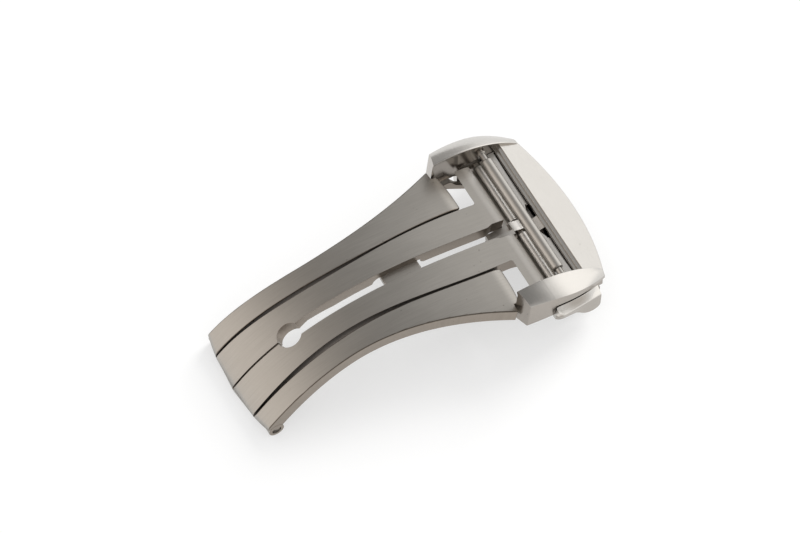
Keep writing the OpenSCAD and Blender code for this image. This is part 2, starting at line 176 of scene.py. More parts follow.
def flatPlate(name, outline, top, bottom):
    # a closed plate between two heights, with the outline seen from above
    bpy.ops.mesh.primitive_circle_add(vertices=len(outline), radius=1, fill_type="NGON")
    plate = newPiece(name)
    for vertex, point in zip(plate.data.vertices, outline):
        vertex.co = (point[0], point[1], top)
    useModifier(plate, "SOLIDIFY", thickness=top - bottom, offset=0)
    middle = sum(v.co.z for v in plate.data.vertices) / len(plate.data.vertices)
    for vertex in plate.data.vertices:
        vertex.co.z = top if vertex.co.z > middle else bottom
    return facesOut(plate)


def sidePlate(name, outline, y0, y1):
    # the same, with the outline seen from the side
    plate = flatPlate(name, outline, -y0, -y1)
    plate.data.transform(Matrix.Rotation(math.radians(90), 4, "X"))
    return facesOut(plate)


def rodAlongY(name, x, z, radius, y0, y1, vertices=48):
    bpy.ops.mesh.primitive_cylinder_add(vertices=vertices, radius=radius, depth=abs(y1 - y0),
                                        location=(x, (y0 + y1) / 2, z), rotation=(math.radians(90), 0, 0))
    rod = newPiece(name)
    bpy.ops.object.transform_apply(location=True, rotation=True, scale=True)
    return rod


def boxAt(name, low, high):
    size = [b - a for a, b in zip(low, high)]
    bpy.ops.mesh.primitive_cube_add(size=1, location=[(a + b) / 2 for a, b in zip(low, high)])
    box = newPiece(name)
    bpy.ops.transform.resize(value=size)
    bpy.ops.object.transform_apply(location=True, rotation=True, scale=True)
    return box


def loftRings(name, rings):
    # a closed skin over rings that all have as many points
    around = len(rings[0])
    bpy.ops.mesh.primitive_grid_add(x_subdivisions=around, y_subdivisions=len(rings) - 1, size=1)
    skin = newPiece(name)
    for i, vertex in enumerate(skin.data.vertices):
        ring = rings[i // (around + 1)]
        vertex.co = ring[i % (around + 1) % around]
    inEdit(skin, lambda: bpy.ops.mesh.remove_doubles(threshold=0.0005),
           lambda: bpy.ops.mesh.select_all(action="DESELECT"),
           lambda: bpy.ops.mesh.select_non_manifold(extend=False),
           lambda: bpy.ops.mesh.fill_holes(sides=around + 2))
    return facesOut(skin)


def crossCuts(piece, start, stop, count, normal=(1, 0, 0)):
    axis = Vector(normal)
    for place in span(start, stop, count)[1:-1]:
        spot = axis * place
        inEdit(piece, lambda: bpy.ops.mesh.bisect(plane_co=spot, plane_no=normal))
    return piece


# the arch that both blades follow

arch = {
    "startSlope": 53, "endSlope": -10.4, "bendLength": 35, "step": 0.1,
    "pinBack": 1.67, "pinDrop": 0.19, "noseBow": 34, "nose": 0.9, "noseReach": 0.6,
    "innerLength": 37.2, "outerLength": 33.6, "thickness": 1.7,
    "innerEndWidth": 8.5, "innerWaist": 7.16, "waveLength": 32,
    "hingeWidth": 13.7, "waist": 12.5, "hingeSwell": 15, "flare": 0.0114, "flareStart": 14,
    "endGap": 0.23, "midGap": 0.5, "gapWave": 25,
}


def slopeAt(u):
    rest = max(0, 1 - u / arch["bendLength"]) ** 2
    return math.radians(arch["endSlope"] + (arch["startSlope"] - arch["endSlope"]) * rest)


archPoints = [Vector((endPin.x - arch["pinBack"], 0, endPin.z + arch["pinDrop"]))]
while len(archPoints) * arch["step"] < arch["innerLength"] + 2:
    angle = slopeAt((len(archPoints) - 0.5) * arch["step"])
    archPoints.append(archPoints[-1] + arch["step"] * Vector((math.cos(angle), 0, math.sin(angle))))


def onArch(u, y, z):
    i = min(max(int(u / arch["step"]), 0), len(archPoints) - 2)
    base = archPoints[i].lerp(archPoints[i + 1], u / arch["step"] - i)
    angle = slopeAt(u)
    return Vector((base.x - z * math.sin(angle), y, base.z + z * math.cos(angle)))


def bendOnArch(piece, dropAt=lambda u, y: 0, liftAt=lambda u, y: 0):
    # the end at the hinge becomes a round nose, and the sheet then follows the arch
    nose, thickness = arch["nose"], arch["thickness"]
    for vertex in piece.data.vertices:
        u, y, z = vertex.co
        short = nose - min(max(u - noseU(y), 0), nose)
        cut = nose - math.sqrt(nose ** 2 - short ** 2)
        if z < -thickness / 2:
            z += liftAt(u, abs(y))
        z = max(min(z, -cut), cut * (thickness - nose) / nose - thickness)
        vertex.co = onArch(u, y, z - dropAt(u, abs(y)))
    return facesOut(piece)


def knuckleAt(y0, y1, radius):
    # a knuckle round the end pin
    knuckle = rodAlongY("knuckle", endPin.x, endPin.z, radius, y0, y1, 64)
    roundEdges(knuckle, 0.05, 2)
    return knuckle


def halfSplit(u):
    wave = (1 + math.cos(2 * math.pi * u / arch["waveLength"])) / 2
    return (arch["innerWaist"] + (arch["innerEndWidth"] - arch["innerWaist"]) * wave) / 2


def stripGap(u):
    wave = math.sin(math.pi * u / arch["gapWave"]) ** 2 if 0 < u < arch["gapWave"] else 0
    return arch["endGap"] + (arch["midGap"] - arch["endGap"]) * wave


def innerEdge(u):
    return halfSplit(u) - stripGap(u) / 2


def splitEdge(u):
    return halfSplit(u) + stripGap(u) / 2


def outerEdge(u):
    swell = (1 + math.cos(math.pi * min(u, arch["hingeSwell"]) / arch["hingeSwell"])) / 2
    flare = arch["flare"] * max(0, u - arch["flareStart"]) ** 2
    return arch["waist"] / 2 + (arch["hingeWidth"] - arch["waist"]) / 2 * swell + flare


def noseU(y):
    return y * y / (2 * arch["noseBow"]) / math.cos(slopeAt(0)) - arch["noseReach"]


def uAtX(x):
    u = 0
    while onArch(u, 0, 0).x < x and u < arch["innerLength"] + 1:
        u += arch["step"] / 2
    return u


# materials


class Socket:
    # wraps a node's output, so that sums on it are written as Python
    def __init__(self, graph, output):
        self.graph = graph
        self.output = output

    def math(self, kind, *values):
        return self.graph.node("ShaderNodeMath", {"operation": kind}, dict(enumerate([self, *values])))

    def __add__(self, other):
        return self.math("ADD", other)

    def __sub__(self, other):
        return self.math("SUBTRACT", other)

    def __mul__(self, other):
        return self.math("MULTIPLY", other)

    def __rsub__(self, other):
        return self.math("MULTIPLY", -1).math("ADD", other)

    def __gt__(self, other):
        return self.math("GREATER_THAN", other)

    __radd__ = __add__
    __rmul__ = __mul__


class Graph:
    def __init__(self, tree):
        self.tree = tree
        tree.nodes.clear()

    def node(self, kind, settings=None, inputs=None, output=0):
        made = self.tree.nodes.new(kind)
        for key, value in (settings or {}).items():
            if key == "ramp":
                ramp = made.color_ramp
                while len(ramp.elements) < len(value):
                    ramp.elements.new(0.5)
                for element, (place, colour) in zip(ramp.elements, value):
                    element.position = place
                    element.color = (*colour, 1)
            else:
                setattr(made, key, value)
        for key, value in (inputs or {}).items():
            if isinstance(value, Socket):
                self.tree.links.new(value.output, made.inputs[key])
            elif isinstance(value, (tuple, list)) and len(value) == 3 and made.inputs[key].type == "RGBA":
                made.inputs[key].default_value = (*value, 1)
            else:
                made.inputs[key].default_value = value
        return Socket(self, made.outputs[output]) if made.outputs else None

    def coordinates(self, scale):
        place = self.node("ShaderNodeTexCoord", output="Object")
        return self.node("ShaderNodeMapping", {}, {"Vector": place, "Scale": scale})

    def noise(self, scale, detail=2, roughness=0.5):
        return self.node("ShaderNodeTexNoise", {}, {"Vector": self.coordinates(scale), "Scale": 1,
                                                    "Detail": detail, "Roughness": roughness})

    def mix(self, factor, first, second, blend="MIX"):
        # inputs 6 and 7 and output 2 are the node's colours
        return self.node("ShaderNodeMix", {"data_type": "RGBA", "blend_type": blend},
                         {"Factor": factor, 6: first, 7: second}, output=2)

    def part(self, vector, axis):
        return self.node("ShaderNodeSeparateXYZ", {}, {"Vector": vector}, output=axis)

    def ramp(self, stops, along):
        return self.node("ShaderNodeValToRGB", {"ramp": stops}, {"Fac": along})


def satinSteel(name, look):
    # metal with fine grain in one direction, a soft uneven tone and a few small marks, with painted shade on
    # its walls and a painted highlight on some tops
    material = bpy.data.materials.new(name)
    material.use_nodes = True
    graph = Graph(material.node_tree)
    grain = graph.noise(look["grain"], detail=3, roughness=look["grainRough"])
    cloud = graph.noise(look["cloud"], detail=2)
    marks = (graph.noise(look["speck"], detail=1) > look["markLevel"]) * look["markDepth"]
    tone = graph.mix(cloud, look["dark"], look["light"])
    streaked = graph.mix((grain - 0.5) * look["streak"] + 0.5,
                         [look["streakDark"] * c for c in look["dark"]], tone)

    # painted shade: walls that turn sideways are painted darker, standing in for the shade in narrow gaps
    # between steel parts
    normal = graph.node("ShaderNodeNewGeometry", output="Normal")
    upward = graph.part(normal, "Z")
    sideways = graph.part(normal, "Y").math("ABSOLUTE")
    sideways = sideways.math("MAXIMUM", (sideways > look["wallTurn"]) * (1 - (upward > look["wallUp"])))
    place = graph.node("ShaderNodeTexCoord", output="Object")
    along = graph.part(place, "X")
    away = graph.part(place, "Y").math("ABSOLUTE")
    low, high, end = (value / metre for value in look["seamBand"])
    inSeam = (away > low) * (1 - (away > high)) * (1 - (along > end))
    inHole = (1 - (away > look["holeHalf"] / metre)) * (1 - (along > 0))
    sides, seamShade, hole = (graph.ramp(look[key], sideways) for key in ("sides", "seamShade", "hole"))
    # painted shade: the tint that darkens sideways walls, the seams between strips and the keyhole walls
    tint = graph.mix(inHole, graph.mix(inSeam, sides, seamShade), hole)
    wallShaded = graph.mix(1.0, streaked, tint, "MULTIPLY")

    # painted highlight: top faces past a given length are painted paler, standing in for the brighter
    # reflection there
    low, high = (value / metre for value in look["highlightFrom"])
    paintedHighlight = graph.node("ShaderNodeMapRange", {}, {"Value": along, "From Min": low, "From Max": high})
    highlighted = graph.mix(paintedHighlight * (upward > look["topUp"]), wallShaded, look["paintedHighlight"])
    worn = graph.mix(marks, highlighted, look["markColour"])
    roughness = look["roughness"] + (grain - 0.5) * look["roughVary"] + (cloud - 0.5) * look["cloudVary"]
    bump = graph.node("ShaderNodeBump", {}, {
        "Strength": 1.0, "Distance": look["bump"] / metre, "Height": grain - marks})
    shader = graph.node("ShaderNodeBsdfPrincipled", {}, {
        "Base Color": worn, "Metallic": 1.0, "Roughness": roughness, "Normal": bump})
    graph.node("ShaderNodeOutputMaterial", {}, {"Surface": shader})
    return material


# painted shade: tints that darken walls in open places, narrow gaps and holes
clear = (1, 1, 1)
wall = (0.77, 0.7, 0.64)
gap = (0.3, 0.27, 0.24)
seamGapShade = (0.3, 0.26, 0.23)
holeWallShade = (0.84, 0.77, 0.71)
headWallShade = (0.64, 0.605, 0.57)

bladeLook = {
    "grain": (260, 9000, 260), "grainRough": 0.7, "cloud": (160, 420, 160), "speck": (1900, 1900, 1900),
    "dark": (0.43, 0.41, 0.38), "light": (0.53, 0.51, 0.48), "streak": 1.3, "streakDark": 0.86,
    "markLevel": 0.79, "markDepth": 0.5, "markColour": (0.2, 0.18, 0.16),
    "roughness": 0.37, "roughVary": 0.18, "cloudVary": 0.06, "bump": 0.004,
    # painted shade: what walls are multiplied by as they turn from level (0) to upright (1)
    "sides": ((0, clear), (0.1, clear), (0.3, (0.48, 0.44, 0.41)), (0.45, gap), (0.9, gap), (0.97, wall),
              (1, wall)),
    "seamShade": ((0, clear), (0.15, clear), (0.4, (0.6, 0.54, 0.49)), (0.75, seamGapShade), (1, seamGapShade)),
    "hole": ((0, clear), (0.15, clear), (0.4, holeWallShade), (1, holeWallShade)),
    # places in millimetres: the seams' painted shade lies between two widths up to an end, the keyhole's near
    # the middle, and the painted highlight on the tops fades in between two lengths
    "seamBand": (3.1, 4.7, 9.4), "holeHalf": 1.6, "highlightFrom": (12.1, 13.4), "paintedHighlight": (0.86, 0.84, 0.81),
    "wallTurn": 0.3, "wallUp": 0.15, "topUp": 0.7,
}
# painted shade: the head's upright walls are painted darker
headSideShade = ((0, clear), (0.78, clear), (0.88, headWallShade), (1, headWallShade))
plainSides = ((0, clear), (1, clear))
nowhere = (90, 91)  # millimetres, past the clasp's end
headLook = dict(bladeLook, grain=(5200, 700, 5200), dark=(0.62, 0.6, 0.57), light=(0.7, 0.68, 0.65),
                streak=0.5, roughness=0.23, roughVary=0.08, bump=0.002, sides=headSideShade, seamShade=headSideShade,
                highlightFrom=nowhere)
pinLook = dict(bladeLook, grain=(700, 7000, 700), dark=(0.5, 0.48, 0.45), light=(0.6, 0.58, 0.55),
               streak=0.8, roughness=0.38, roughVary=0.12, bump=0.002, sides=plainSides, seamShade=plainSides,
               highlightFrom=nowhere)
springLook = dict(bladeLook, grain=(2500, 2500, 2500), dark=(0.32, 0.32, 0.33), light=(0.42, 0.42, 0.43),
                  streak=0.4, roughness=0.35)

bladeSteel = satinSteel("bladeSteel", bladeLook)
headSteel = satinSteel("headSteel", headLook)
pinSteel = satinSteel("pinSteel", pinLook)
springSteel = satinSteel("springSteel", springLook)
print("materials ready")


# inner blade

innerLook = {
    "slit": 0.22, "slot": 1.5, "keyhole": 1.35, "keyholeAt": 9.1, "armLength": 1.95, "armWidth": 17.6,
    "armCut": 2, "corner": 0.3, "edge": 0.22, "tube": 0.68, "cuts": 93, "noseCutEnd": 1.4, "noseCuts": 28,
    "bridgeAt": 21.3, "bridgeLength": 4.7, "bridgeDrop": 0.9, "notch": 0.85, "notchOut": 0.2,
    "notchDepth": 1.9, "slotEase": 0.35, "slotFrom": 2.5, "knuckle": 0.9,
    "relief": 0.5, "reliefAt": 9.5, "reliefLength": 11, "lipDepth": 0.45, "armRoll": 0.02, "armRollStart": 35,
    "taper": 0.5, "undercut": 1.1, "webReach": 1.8, "webTop": 0.3, "webLow": -0.1, "webDeep": 0.75,
    "overlap": 0.12,
}


def slotRelief(u, y):
    # the underside is hollowed beside the keyhole, and has a lip from the bridge to the head
    s = innerLook
    away = min(abs(u - s["reliefAt"]) / (s["reliefLength"] / 2), 1)
    lip = s["lipDepth"] if u > s["bridgeAt"] + s["bridgeLength"] + 0.5 else 0
    return s["relief"] * (1 - away ** 2) - lip if y < s["keyhole"] + 0.1 else 0


def armDrop(u, y):
    return innerLook["armRoll"] * max(0, u - innerLook["armRollStart"]) ** 2


def innerHalf():
    s = innerLook
    armStart = arch["innerLength"] - s["armLength"]
    slotEnd = armStart - s["slotEase"]
    stretch = 1 / math.cos(slopeAt(s["keyholeAt"]))
    slitAngle = math.pi - math.asin(s["slit"] / 2 / s["keyhole"])
    slotAngle = math.asin(s["slot"] / 2 / s["keyhole"])
    outline = [(noseU(0), s["slit"] / 2)]
    for angle in span(slitAngle, slotAngle, 22):
        outline.append((s["keyholeAt"] + s["keyhole"] * stretch * math.cos(angle),
                        s["keyhole"] * math.sin(angle)))
    outline += [(u, s["slot"] / 2) for u in span(s["keyholeAt"] + s["slotFrom"], slotEnd, 40)]
    outline += [(armStart + s["slotEase"], s["armCut"] / 2), (arch["innerLength"], s["armCut"] / 2, 0.1),
                (arch["innerLength"], s["armWidth"] / 2, s["corner"]),
                (armStart, s["armWidth"] / 2, s["corner"]),
                (armStart, innerEdge(armStart), s["corner"])]
    outline += [(u, innerEdge(u)) for u in span(armStart - 0.5, 0.9, 80)]
    outline += [(noseU(y), y) for y in span(innerEdge(0), s["slit"] / 2 + 0.2, 12)]
    half = flatPlate("innerHalf", roundedOutline(outline), 0, -arch["thickness"])
    for vertex in half.data.vertices:
        # below, the keyhole is narrower and the arm's left wall leans back
        u, y, z = vertex.co
        if z > -arch["thickness"] / 2:
            continue
        if math.hypot((u - s["keyholeAt"]) / stretch, y) < s["keyhole"] + 0.02 and y > s["slit"] / 2 + 0.01:
            vertex.co.y = max(y * (1 - s["taper"] / s["keyhole"]), s["slit"] / 2)
        if abs(u - armStart) < s["corner"] + 0.1 and y > innerEdge(armStart) - 0.1:
            vertex.co.x += s["undercut"] * min(max(1 - (armStart - u) / s["corner"], 0), 1)
    for side in (-1, 1):
        # a round notch beside each end of the bridge, from below
        at = s["bridgeAt"] + s["bridgeLength"] / 2 + side * (s["bridgeLength"] / 2 + s["notchOut"])
        cutBy(half, rodAlongY("notch", at, -arch["thickness"] - 0.1, s["notch"], 0, s["notchDepth"], 32))
    roundEdges(half, s["edge"])
    crossCuts(half, -arch["noseReach"], s["noseCutEnd"], s["noseCuts"])
    crossCuts(half, s["noseCutEnd"], arch["innerLength"], s["cuts"])
    return half


def makeInnerBlade():
    s = innerLook
    far = innerHalf()
    near = mirrored(far, "innerHalfNear")
    bridgeEnd = s["bridgeAt"] + s["bridgeLength"]
    bridge = boxAt("bridge", (s["bridgeAt"], -s["slot"] / 2 - 0.3, -arch["thickness"] + 0.04),
                   (bridgeEnd, s["slot"] / 2 + 0.3, -s["bridgeDrop"]))
    roundEdges(bridge, 0.15)
    crossCuts(bridge, s["bridgeAt"], bridgeEnd, 8)
    parts = [bendOnArch(part, armDrop, slotRelief) for part in (far, near)] + [bendOnArch(bridge)]
    hx, hz = headPin.x, headPin.z
    low = boxOf("inner_blade")[1].x - s["tube"] - s["webReach"]
    webSide = [(low, hz + s["webTop"]), (low + 0.5, hz), (hx, hz), (hx, hz - s["webDeep"]),
               (hx - 0.5, hz - s["webDeep"] + 0.05), (low, hz + s["webLow"])]
    for side in (1, -1):
        y0, y1 = side * (s["armCut"] / 2 - s["overlap"]), side * s["armWidth"] / 2
        tube = roundEdges(rodAlongY("hingeTube", hx, hz, s["tube"], y0, y1, 64), 0.1)
        web = sidePlate("web", webSide, y0 + side * s["overlap"], y1 - side * 0.02)
        parts += [tube, web, knuckleAt(side * 0.1, side * (innerEdge(0) - 0.02), s["knuckle"])]
    blade = joined("innerBlade", *parts)
    return settle(blade, "inner", bladeSteel, "blade_steel", "inner_blade")


makeInnerBlade()
print("inner blade made")


# outer blade

outerLook = {
    "edge": 0.24, "corner": 0.9, "crown": 0.28, "sink": 0.12, "roll": 0.3, "rollLength": 1.3, "endBow": 0.4,
    "cuts": 84, "noseCutEnd": 2.2, "noseCuts": 40, "widthCuts": (3.5, 10.5, 14),
    "footBack": 5.5, "footGap": 0.3, "footY": 9.2, "knuckle": 0.92, "pinRadius": 0.55,
    "armIn": 8.45, "armOut": 9.05, "armWidth": 1.2, "armRise": 0.5,
    "armAbove": ((-6.4, 0.9), (-3.7, 0.75), (-3.0, -0.4), (-1.6, -1.7)),
    "armBelow": ((-0.5, -3.35), (-5.6, 0.7)),
    "lugIn": 7.4, "lugRadius": 1.2, "lugX": 4.1, "plateStart": 0.6, "plateEnd": 3, "plateThick": 0.7,
}


def outerStrip():
    s = outerLook
    length = arch["outerLength"]
    footU = uAtX(headPin.x - s["footBack"] - s["footGap"])
    innerY = splitEdge(length)
    outerY = outerEdge(length - 1)
    outline = [(noseU(outerEdge(0)), outerEdge(0), s["corner"])]
    outline += [(noseU(y), y) for y in span(outerEdge(0) - s["corner"] - 0.3, splitEdge(0), 8)]
    outline += [(u, splitEdge(u)) for u in span(noseU(splitEdge(0)) + 0.3, length - 0.3, 80)]
    outline += [(length - s["endBow"] * t ** 4, innerY + (s["footY"] - innerY) * t)
                for t in span(0.03, 0.93, 15)]
    outline += [(length - s["endBow"], s["footY"], 0.3)]
    outline += [(footU, y) for y in span(s["footY"], outerY - 0.1, 4)]
    outline += [(u, outerEdge(u)) for u in span(footU - 0.15, noseU(outerEdge(0)) + s["corner"] + 0.5, 80)]
    strip = flatPlate("outerStrip", roundedOutline(outline), 0, -arch["thickness"])
    roundEdges(strip, s["edge"])
    crossCuts(strip, -arch["noseReach"], s["noseCutEnd"], s["noseCuts"])
    crossCuts(strip, s["noseCutEnd"], length, s["cuts"])
    crossCuts(strip, *s["widthCuts"], (0, 1, 0))
    return strip


def stripDrop(u, y):
    # the strips crown towards their outer edge, sink along the middle and roll down at the head
    s = outerLook
    width = outerEdge(u) - splitEdge(u)
    across = min(max((y - splitEdge(u)) / width, 0), 1)
    toEnd = max(0, 1 - (arch["outerLength"] - u) / s["rollLength"])
    sink = s["sink"] * math.sin(math.pi * min(max(u, 0), 30) / 30)
    return s["crown"] * across ** 2 * u / arch["outerLength"] + sink + s["roll"] * toEnd ** 2


def makeOuterBlade():
    s = outerLook
    strip = bendOnArch(outerStrip(), stripDrop)
    hx, hz = headPin.x, headPin.z
    plateTop = boxOf("catch_plate")[0].z
    plateLow = plateTop - s["plateThick"]
    armTop, plateEnd, width = plateTop + s["armRise"], hx + s["plateEnd"], s["armWidth"]
    lugX, lug = hx + s["lugX"], s["lugRadius"]
    outline = [(hx + x, hz + z) for x, z in s["armAbove"]]
    outline += [(hx + s["plateStart"] + 0.3, armTop, 0.3), (plateEnd, armTop, 0.3),
                (lugX + 0.8 * lug, 1.6 * lug), (lugX - 0.8 * lug, 0.4 * lug),
                (plateEnd - width / 2, plateLow, 0.3), (hx + s["plateStart"], plateLow, 0.3)]
    outline += [(hx + x, hz + z) for x, z in s["armBelow"]]
    arm = roundEdges(sidePlate("sideArm", roundedOutline(outline), s["armIn"], s["armOut"]), 0.1)
    lugRod = roundEdges(rodAlongY("lug", lugX, lug, lug, s["lugIn"], s["armOut"] + 0.001, 64), 0.12)
    knuckle = knuckleAt(splitEdge(0) + 0.02, outerEdge(0) + 0.01, s["knuckle"])
    cutBy(knuckle, rodAlongY("bore", endPin.x, endPin.z, s["pinRadius"], 3, 8, 48))
    far = joined("outerFar", strip, arm, lugRod, knuckle)
    near = mirrored(far, "outerNear")
    plate = boxAt("plate", (hx + s["plateStart"], -s["armIn"] - 0.2, plateLow),
                  (plateEnd, s["armIn"] + 0.2, plateTop))
    roundEdges(plate, 0.1)
    blade = joined("outerBlade", far, near, plate)
    return settle(blade, "outer", bladeSteel, "blade_steel", "outer_blade")


makeOuterBlade()
print("outer blade made")


# head

headShape = {
    "earIn": 9.15, "earThick": 2.3, "web": 0.75, "archRadius": 13, "archX": -4.3, "archTop": 4.85,
    "footX": -5.5, "footEnd": -2.4, "footSlant": 0.7, "footLow": 0.05, "earEnd": 5.2, "wideX": -0.5,
    "bowBack": 0.016, "bowAhead": 0.045, "ridge": 3.88, "ridgeFall": 0.05, "ridgeBend": 0.0255,
    "wall": 1.65, "wallBend": 0.032, "bulge": 0.16, "soft": 0.14, "ridgeSoft": 0.07,
    "footSkew": 0.5, "skewLength": 2.5, "footRecess": 0.15, "rimDrop": 0.45, "earSteps": 42,
    "coverStart": 2.9, "coverRise": 2.25, "coverReach": 7.05, "coverSlope": 35.9, "coverThick": 1.2,
    "coverRound": 26, "coverLap": 0.55, "coverSteps": ((0.36, 0.25), (0.7, 0.55)), "stepLow": -0.2,
    "frontWall": 0.9, "wallInset": 0.06, "wallLow": -2.05, "wallDrop": 0.5, "housingLow": -1.75,
    "webTop": 1.2, "webBack": 0.6, "webLap": 0.1, "earEdge": 0.12, "coverEdge": 0.1, "stepEdge": 0.07,
}


def earTop(x):
    s = headShape
    return s["archTop"] - s["archRadius"] + math.sqrt(s["archRadius"] ** 2 - (x - s["archX"]) ** 2)


def earSide(x):
    s = headShape
    bow = s["bowBack"] if x < s["wideX"] else s["bowAhead"]
    return s["earIn"] + s["earThick"] - bow * (x - s["wideX"]) ** 2


def earRidge(x):
    s = headShape
    past = x - s["footX"]
    return min(earTop(x) - 0.03, s["ridge"] - s["ridgeFall"] * past - s["ridgeBend"] * past ** 2)


def wallFoot(x):
    s = headShape
    return s["wall"] - s["wallBend"] * (max(x, s["footEnd"]) - s["footEnd"]) ** 2


def earRing(x, bottom, lean):
    # section of an ear: inner wall, rounded rim, gently bulging top, rounded ridge, side wall
    s = headShape
    sideX = x + lean
    yIn, yOut = s["earIn"], earSide(sideX)
    top, ridge = earTop(x), earRidge(sideX)
    drop = top - ridge
    soft = min(s["soft"], (yOut - yIn) / 4)
    wallY = yIn + s["footRecess"] * min(max((s["footEnd"] - x) / 0.5, 0), 1)
    points = [(wallY, bottom), (wallY, bottom + 0.3 * (top - bottom)), (wallY, top - soft - s["rimDrop"]),
              (yIn, top - soft - 0.15), (yIn, top - soft)]
    points += [(yIn + soft * (1 - math.cos(a)), top - soft * (1 - math.sin(a)))
               for a in span(0.4, 1.35, 3)]
    for t in span(0.14, 0.9, 8):
        bulge = s["bulge"] * math.sin(math.pi * t)
        points.append((yIn + (yOut - yIn) * t, top - drop * t + bulge))
    crisp = min(s["ridgeSoft"], (yOut - yIn) / 4)
    points += [(yOut - crisp * (1 - math.sin(a)) * 0.7, ridge - crisp * (1 - math.cos(a)))
               for a in span(0.3, 1.5, 3)]
    points += [(yOut, ridge + (bottom - ridge) * t) for t in (0.25, 0.5, 0.75)]
    points += [(yOut, bottom + 0.1), (yOut - 0.1, bottom)]
    ring = []
    for y, z in points:
        # the foot's left face leans outwards below
        across = (y - yIn) / (yOut - yIn)
        below = max(0, (top - z) / (top - s["footLow"]))
        skew = -s["footSkew"] * below * max(0, 1 - (x - s["footX"]) / s["skewLength"])
        ring.append(headPin + Vector((x + lean * across + skew, y, z)))
    return ring


def makeEar():
    s = headShape
    rings = []
    step = (s["earEnd"] - s["footX"]) / s["earSteps"]
    for t in span(0, 1, s["earSteps"]):
        x = s["footX"] + (s["earEnd"] - s["footX"]) * t
        lean = s["footSlant"] * (1 - t)
        bottom = s["footLow"] if x < s["footEnd"] else wallFoot(x)
        if rings and bottom > s["footLow"] and x - step < s["footEnd"]:
            # the foot's right face, straight up to the wall
            rings.append(earRing(s["footEnd"], s["footLow"], lean))
            rings.append(earRing(s["footEnd"] + 0.02, wallFoot(x), lean))
        if x > s["footEnd"] + 0.05 or x < s["footEnd"] - 0.05:
            rings.append(earRing(x, bottom, lean))
    # smaller rings inside the first keep the foot's left face smooth
    middle = sum(rings[0], Vector()) / len(rings[0])
    rings = [[point.lerp(middle, t) for point in rings[0]] for t in (0.9, 0.6, 0.3)] + rings
    ear = loftRings("ear", rings)
    roundEdges(ear, s["earEdge"], 3, 50)
    hx, hz = headPin.x, headPin.z
    start, stop = hx + s["footEnd"] - s["webLap"], hx + s["earEnd"] - s["webBack"]
    low = hz + s["housingLow"]
    web = sidePlate("web", [(start, low), (stop, low), (stop, hz + wallFoot(s["earEnd"]) + 0.15),
                            (start, hz + s["webTop"])], s["earIn"], s["earIn"] + s["web"])
    return joined("ear", ear, web)


def coverOutline(inset, start, half):
    s = headShape
    reach = headPin.x + s["coverReach"] - inset
    arc = [(reach - y * y / (2 * s["coverRound"]), y) for y in span(-half, half, 40)]
    return [(start, -half)] + arc + [(start, half)]


def makeCover():
    # the sloping cover, the fine steps under its left edge and the round wall under its right edge
    s = headShape
    hx, hz = headPin.x, headPin.z
    half = s["earIn"] + s["coverLap"]
    start = hx + s["coverStart"]
    fall = math.tan(math.radians(s["coverSlope"]))

    def coverTop(x):
        return hz + s["coverRise"] - (x - start) * fall

    cover = flatPlate("cover", coverOutline(0, start, half), 0, -s["coverThick"])
    roundEdges(cover, s["coverEdge"], 4)
    for vertex in cover.data.vertices:
        vertex.co.z += coverTop(vertex.co.x)
    steps = []
    for ahead, drop in s["coverSteps"]:
        step = boxAt("coverStep", (start - ahead, -s["earIn"] - 0.1, hz + s["stepLow"]),
                     (start + 0.4, s["earIn"] + 0.1, hz + s["coverRise"] - drop))
        steps.append(roundEdges(step, s["stepEdge"]))
    wall = flatPlate("frontWall", coverOutline(s["wallInset"], start + 1, half - 0.05), hz + s["stepLow"],
                     hz + s["wallLow"])
    inner = flatPlate("inner", coverOutline(s["frontWall"], hx, s["earIn"]), hz + 2, hz - 5)
    cutBy(wall, inner)
    roundEdges(wall, s["earEdge"])
    for vertex in wall.data.vertices:
        if vertex.co.z > hz - 1:
            vertex.co.z = coverTop(vertex.co.x) - s["wallDrop"]
    return [cover, wall] + steps


def makeHead():
    farEar = makeEar()
    nearEar = mirrored(farEar, "nearEar")
    head = joined("headFrame", farEar, nearEar, *makeCover())
    return settle(head, "head", headSteel, "head_steel", "head_frame")


makeHead()
print("head made")


# strap bars and pins

barLook = {
    "radius": 0.65, "bore": 0.41, "collar": 0.56, "chamfer": 0.12, "pinDome": 0.14,
    "tip": 0.36, "tipOut": 0.85, "flange": 0.55, "flangeWidth": 0.22,
    "wire": 0.07, "coil": 0.34, "turns": 36, "buttonTurns": 10, "turnSteps": 14, "wireSides": 6,
}


def turnedProfile(name, centre, profile, vertices=48):
    # (y, radius) steps along the bar's axis, spun into a solid
    rings = []
    for y, radius in profile:
        rings.append([Vector((centre.x + radius * math.cos(a), y, centre.z + radius * math.sin(a)))
                      for a in span(0, 2 * math.pi * (1 - 1 / vertices), vertices - 1)])
    return loftRings(name, rings)


def makeTube(name, node, body):
    s = barLook
    low, high = boxOf(node)
    centre, end, chamfer = (low + high) / 2, high.y, s["chamfer"]
    tube = turnedProfile(name, centre, [(-end, s["collar"]), (chamfer - end, s["radius"]),
                                        (end - chamfer, s["radius"]), (end, s["collar"])])
    cutBy(tube, rodAlongY("bore", centre.x, centre.z, s["bore"], -end - 1, end + 1, 48))
    roundEdges(tube, 0.03, 2, 40)
    return settle(tube, body, pinSteel, "pin_steel", node)


def makeTip(name, node, body):
    s = barLook
    low, high = boxOf(node)
    centre = (low + high) / 2
    side = 1 if centre.y > 0 else -1
    start, end = sorted((abs(low.y), abs(high.y)))
    flangeEnd = end - s["tipOut"]
    flangeStart = flangeEnd - s["flangeWidth"]
    profile = [(start, s["tip"]), (flangeStart, s["tip"]), (flangeStart, s["flange"]),
               (flangeEnd, s["flange"]), (flangeEnd, s["tip"]), (end - s["chamfer"], s["tip"]),
               (end, s["tip"] - s["chamfer"])]
    tip = turnedProfile(name, centre, [(side * y, radius) for y, radius in profile])
    roundEdges(tip, 0.03, 2, 40)
    return settle(tip, body, pinSteel, "pin_steel", node)


